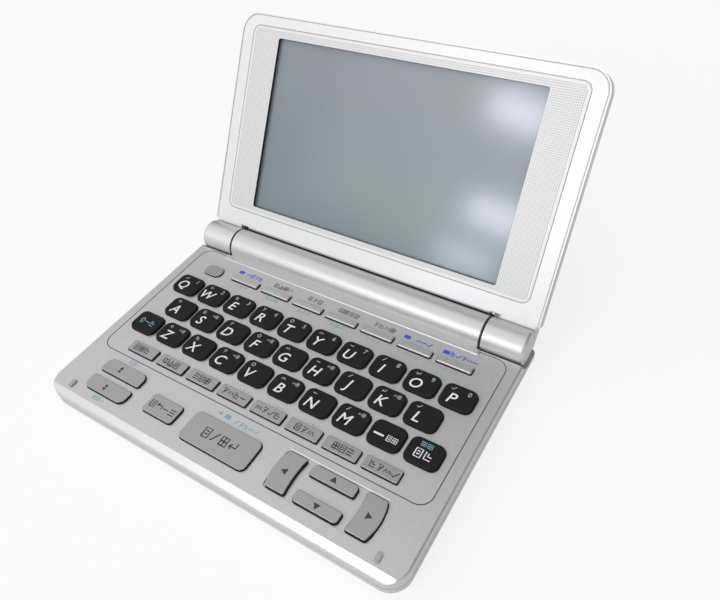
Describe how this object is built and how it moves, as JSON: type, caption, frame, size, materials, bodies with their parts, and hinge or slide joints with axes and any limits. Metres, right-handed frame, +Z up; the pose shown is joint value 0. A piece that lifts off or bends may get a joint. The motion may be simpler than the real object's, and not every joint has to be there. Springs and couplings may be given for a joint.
{
  "type": "electronic dictionary",
  "caption": "Pocket electronic dictionary: a flat keyboard base with pressing keys and a screen lid on a round hinge barrel.",
  "frame": {"origin": "on the table, under the middle of the object's bounding box with the lid standing open as in the rest pose", "axes": "+X along the hinge to the right of the reader, +Y to the back, +Z up"},
  "size_m": [0.145, 0.1468, 0.0867],
  "materials": {
    "case_silver": "satin silver paint with fine metal flake",
    "cover_silver": "satin silver paint",
    "frame_silver": "pale pearl silver paint",
    "surround_silver": "pale silver with a fine dot grid",
    "mat_silicone": "soft translucent silicone",
    "board_laminate": "green solder mask",
    "cell_can": "plain wrapped can",
    "contact_steel": "nickel-plated spring steel",
    "foot_rubber": "matt dark rubber",
    "screw_steel": "plated steel",
    "pad_rubber": "smooth grey rubber",
    "hinge_steel": "oiled steel",
    "gasket_rubber": "black foam rubber",
    "display_glass": "unlit grey-blue liquid-crystal display behind smooth glass",
    "cable_film": "amber polyimide film",
    "key_black": "matt black keycap",
    "key_silver": "satin grey-silver keycap"
  },
  "bodies": {
    "base": {"upper_case": "case_silver", "lower_case": "case_silver", "key_mat": "mat_silicone", "circuit_board": "board_laminate", "battery_cells": "cell_can", "battery_contacts": "contact_steel", "rubber_feet": "foot_rubber", "case_screws": "screw_steel", "closing_pads": "pad_rubber", "hinge_clutches": "hinge_steel"},
    "lid": {"lid_cover": "cover_silver", "lid_frame": "frame_silver", "screen_surround": "surround_silver", "screen_gasket": "gasket_rubber", "lcd_panel": "display_glass", "lid_screws": "screw_steel", "hinge_pins": "hinge_steel", "hinge_end_caps": "cover_silver", "display_cable": "cable_film"},
    "door": {"battery_door": "case_silver"},
    "key_q_cap": {"key_q": "key_black"},
    "key_w_cap": {"key_w": "key_black"},
    "key_e_cap": {"key_e": "key_black"},
    "key_r_cap": {"key_r": "key_black"},
    "key_t_cap": {"key_t": "key_black"},
    "key_y_cap": {"key_y": "key_black"},
    "key_u_cap": {"key_u": "key_black"},
    "key_i_cap": {"key_i": "key_black"},
    "key_o_cap": {"key_o": "key_black"},
    "key_p_cap": {"key_p": "key_black"},
    "key_a_cap": {"key_a": "key_black"},
    "key_s_cap": {"key_s": "key_black"},
    "key_d_cap": {"key_d": "key_black"},
    "key_f_cap": {"key_f": "key_black"},
    "key_g_cap": {"key_g": "key_black"},
    "key_h_cap": {"key_h": "key_black"},
    "key_j_cap": {"key_j": "key_black"},
    "key_k_cap": {"key_k": "key_black"},
    "key_l_cap": {"key_l": "key_black"},
    "key_z_cap": {"key_z": "key_black"},
    "key_x_cap": {"key_x": "key_black"},
    "key_c_cap": {"key_c": "key_black"},
    "key_v_cap": {"key_v": "key_black"},
    "key_b_cap": {"key_b": "key_black"},
    "key_n_cap": {"key_n": "key_black"},
    "key_m_cap": {"key_m": "key_black"},
    "key_shift_cap": {"key_shift": "key_black"},
    "key_dash_cap": {"key_dash": "key_black"},
    "key_delete_cap": {"key_delete": "key_black"},
    "key_power_cap": {"key_power": "key_silver"},
    "key_page_up_cap": {"key_page_up": "key_silver"},
    "key_page_down_cap": {"key_page_down": "key_silver"},
    "key_back_cap": {"key_back": "key_silver"},
    "key_enter_cap": {"key_enter": "key_silver"},
    "key_left_cap": {"key_left": "key_silver"},
    "key_right_cap": {"key_right": "key_silver"},
    "key_up_cap": {"key_up": "key_silver"},
    "key_down_cap": {"key_down": "key_silver"},
    "upper_function_strip_comb": {"upper_function_strip": "key_silver"},
    "lower_function_strip_comb": {"lower_function_strip": "key_silver"}
  },
  "joints": [
    {"name": "lid_hinge", "type": "hinge", "parent": "base", "child": "lid", "pos_m": [0, 0.01779, 0.0108], "axis": [1, 0, 0], "range_deg": [-27.5, 122.5]},
    {"name": "battery_door_slide", "type": "slide", "parent": "base", "child": "door", "axis": [0, 1, 0], "range_m": [0, 0.005]},
    {"name": "press_q", "type": "slide", "parent": "base", "child": "key_q_cap", "axis": [0, 0, -1], "range_m": [0, 0.0006], "stiffness_N_per_m": 600, "springref_m": -0.0005},
    {"name": "press_w", "type": "slide", "parent": "base", "child": "key_w_cap", "axis": [0, 0, -1], "range_m": [0, 0.0006], "stiffness_N_per_m": 600, "springref_m": -0.0005},
    {"name": "press_e", "type": "slide", "parent": "base", "child": "key_e_cap", "axis": [0, 0, -1], "range_m": [0, 0.0006], "stiffness_N_per_m": 600, "springref_m": -0.0005},
    {"name": "press_r", "type": "slide", "parent": "base", "child": "key_r_cap", "axis": [0, 0, -1], "range_m": [0, 0.0006], "stiffness_N_per_m": 600, "springref_m": -0.0005},
    {"name": "press_t", "type": "slide", "parent": "base", "child": "key_t_cap", "axis": [0, 0, -1], "range_m": [0, 0.0006], "stiffness_N_per_m": 600, "springref_m": -0.0005},
    {"name": "press_y", "type": "slide", "parent": "base", "child": "key_y_cap", "axis": [0, 0, -1], "range_m": [0, 0.0006], "stiffness_N_per_m": 600, "springref_m": -0.0005},
    {"name": "press_u", "type": "slide", "parent": "base", "child": "key_u_cap", "axis": [0, 0, -1], "range_m": [0, 0.0006], "stiffness_N_per_m": 600, "springref_m": -0.0005},
    {"name": "press_i", "type": "slide", "parent": "base", "child": "key_i_cap", "axis": [0, 0, -1], "range_m": [0, 0.0006], "stiffness_N_per_m": 600, "springref_m": -0.0005},
    {"name": "press_o", "type": "slide", "parent": "base", "child": "key_o_cap", "axis": [0, 0, -1], "range_m": [0, 0.0006], "stiffness_N_per_m": 600, "springref_m": -0.0005},
    {"name": "press_p", "type": "slide", "parent": "base", "child": "key_p_cap", "axis": [0, 0, -1], "range_m": [0, 0.0006], "stiffness_N_per_m": 600, "springref_m": -0.0005},
    {"name": "press_a", "type": "slide", "parent": "base", "child": "key_a_cap", "axis": [0, 0, -1], "range_m": [0, 0.0006], "stiffness_N_per_m": 600, "springref_m": -0.0005},
    {"name": "press_s", "type": "slide", "parent": "base", "child": "key_s_cap", "axis": [0, 0, -1], "range_m": [0, 0.0006], "stiffness_N_per_m": 600, "springref_m": -0.0005},
    {"name": "press_d", "type": "slide", "parent": "base", "child": "key_d_cap", "axis": [0, 0, -1], "range_m": [0, 0.0006], "stiffness_N_per_m": 600, "springref_m": -0.0005},
    {"name": "press_f", "type": "slide", "parent": "base", "child": "key_f_cap", "axis": [0, 0, -1], "range_m": [0, 0.0006], "stiffness_N_per_m": 600, "springref_m": -0.0005},
    {"name": "press_g", "type": "slide", "parent": "base", "child": "key_g_cap", "axis": [0, 0, -1], "range_m": [0, 0.0006], "stiffness_N_per_m": 600, "springref_m": -0.0005},
    {"name": "press_h", "type": "slide", "parent": "base", "child": "key_h_cap", "axis": [0, 0, -1], "range_m": [0, 0.0006], "stiffness_N_per_m": 600, "springref_m": -0.0005},
    {"name": "press_j", "type": "slide", "parent": "base", "child": "key_j_cap", "axis": [0, 0, -1], "range_m": [0, 0.0006], "stiffness_N_per_m": 600, "springref_m": -0.0005},
    {"name": "press_k", "type": "slide", "parent": "base", "child": "key_k_cap", "axis": [0, 0, -1], "range_m": [0, 0.0006], "stiffness_N_per_m": 600, "springref_m": -0.0005},
    {"name": "press_l", "type": "slide", "parent": "base", "child": "key_l_cap", "axis": [0, 0, -1], "range_m": [0, 0.0006], "stiffness_N_per_m": 600, "springref_m": -0.0005},
    {"name": "press_z", "type": "slide", "parent": "base", "child": "key_z_cap", "axis": [0, 0, -1], "range_m": [0, 0.0006], "stiffness_N_per_m": 600, "springref_m": -0.0005},
    {"name": "press_x", "type": "slide", "parent": "base", "child": "key_x_cap", "axis": [0, 0, -1], "range_m": [0, 0.0006], "stiffness_N_per_m": 600, "springref_m": -0.0005},
    {"name": "press_c", "type": "slide", "parent": "base", "child": "key_c_cap", "axis": [0, 0, -1], "range_m": [0, 0.0006], "stiffness_N_per_m": 600, "springref_m": -0.0005},
    {"name": "press_v", "type": "slide", "parent": "base", "child": "key_v_cap", "axis": [0, 0, -1], "range_m": [0, 0.0006], "stiffness_N_per_m": 600, "springref_m": -0.0005},
    {"name": "press_b", "type": "slide", "parent": "base", "child": "key_b_cap", "axis": [0, 0, -1], "range_m": [0, 0.0006], "stiffness_N_per_m": 600, "springref_m": -0.0005},
    {"name": "press_n", "type": "slide", "parent": "base", "child": "key_n_cap", "axis": [0, 0, -1], "range_m": [0, 0.0006], "stiffness_N_per_m": 600, "springref_m": -0.0005},
    {"name": "press_m", "type": "slide", "parent": "base", "child": "key_m_cap", "axis": [0, 0, -1], "range_m": [0, 0.0006], "stiffness_N_per_m": 600, "springref_m": -0.0005},
    {"name": "press_shift", "type": "slide", "parent": "base", "child": "key_shift_cap", "axis": [0, 0, -1], "range_m": [0, 0.0006], "stiffness_N_per_m": 600, "springref_m": -0.0005},
    {"name": "press_dash", "type": "slide", "parent": "base", "child": "key_dash_cap", "axis": [0, 0, -1], "range_m": [0, 0.0006], "stiffness_N_per_m": 600, "springref_m": -0.0005},
    {"name": "press_delete", "type": "slide", "parent": "base", "child": "key_delete_cap", "axis": [0, 0, -1], "range_m": [0, 0.0006], "stiffness_N_per_m": 600, "springref_m": -0.0005},
    {"name": "press_power", "type": "slide", "parent": "base", "child": "key_power_cap", "axis": [0, 0, -1], "range_m": [0, 0.0006], "stiffness_N_per_m": 600, "springref_m": -0.0005},
    {"name": "press_page_up", "type": "slide", "parent": "base", "child": "key_page_up_cap", "axis": [0, 0, -1], "range_m": [0, 0.0006], "stiffness_N_per_m": 600, "springref_m": -0.0005},
    {"name": "press_page_down", "type": "slide", "parent": "base", "child": "key_page_down_cap", "axis": [0, 0, -1], "range_m": [0, 0.0006], "stiffness_N_per_m": 600, "springref_m": -0.0005},
    {"name": "press_back", "type": "slide", "parent": "base", "child": "key_back_cap", "axis": [0, 0, -1], "range_m": [0, 0.0006], "stiffness_N_per_m": 600, "springref_m": -0.0005},
    {"name": "press_enter", "type": "slide", "parent": "base", "child": "key_enter_cap", "axis": [0, 0, -1], "range_m": [0, 0.0006], "stiffness_N_per_m": 600, "springref_m": -0.0005},
    {"name": "press_left", "type": "slide", "parent": "base", "child": "key_left_cap", "axis": [0, 0, -1], "range_m": [0, 0.0006], "stiffness_N_per_m": 600, "springref_m": -0.0005},
    {"name": "press_right", "type": "slide", "parent": "base", "child": "key_right_cap", "axis": [0, 0, -1], "range_m": [0, 0.0006], "stiffness_N_per_m": 600, "springref_m": -0.0005},
    {"name": "press_up", "type": "slide", "parent": "base", "child": "key_up_cap", "axis": [0, 0, -1], "range_m": [0, 0.0006], "stiffness_N_per_m": 600, "springref_m": -0.0005},
    {"name": "press_down", "type": "slide", "parent": "base", "child": "key_down_cap", "axis": [0, 0, -1], "range_m": [0, 0.0006], "stiffness_N_per_m": 600, "springref_m": -0.0005},
    {"name": "press_upper_function_strip", "type": "slide", "parent": "base", "child": "upper_function_strip_comb", "axis": [0, 0, -1], "range_m": [0, 0.0006], "stiffness_N_per_m": 900, "springref_m": -0.0005},
    {"name": "press_lower_function_strip", "type": "slide", "parent": "base", "child": "lower_function_strip_comb", "axis": [0, 0, -1], "range_m": [0, 0.0006], "stiffness_N_per_m": 900, "springref_m": -0.0005}
  ]
}
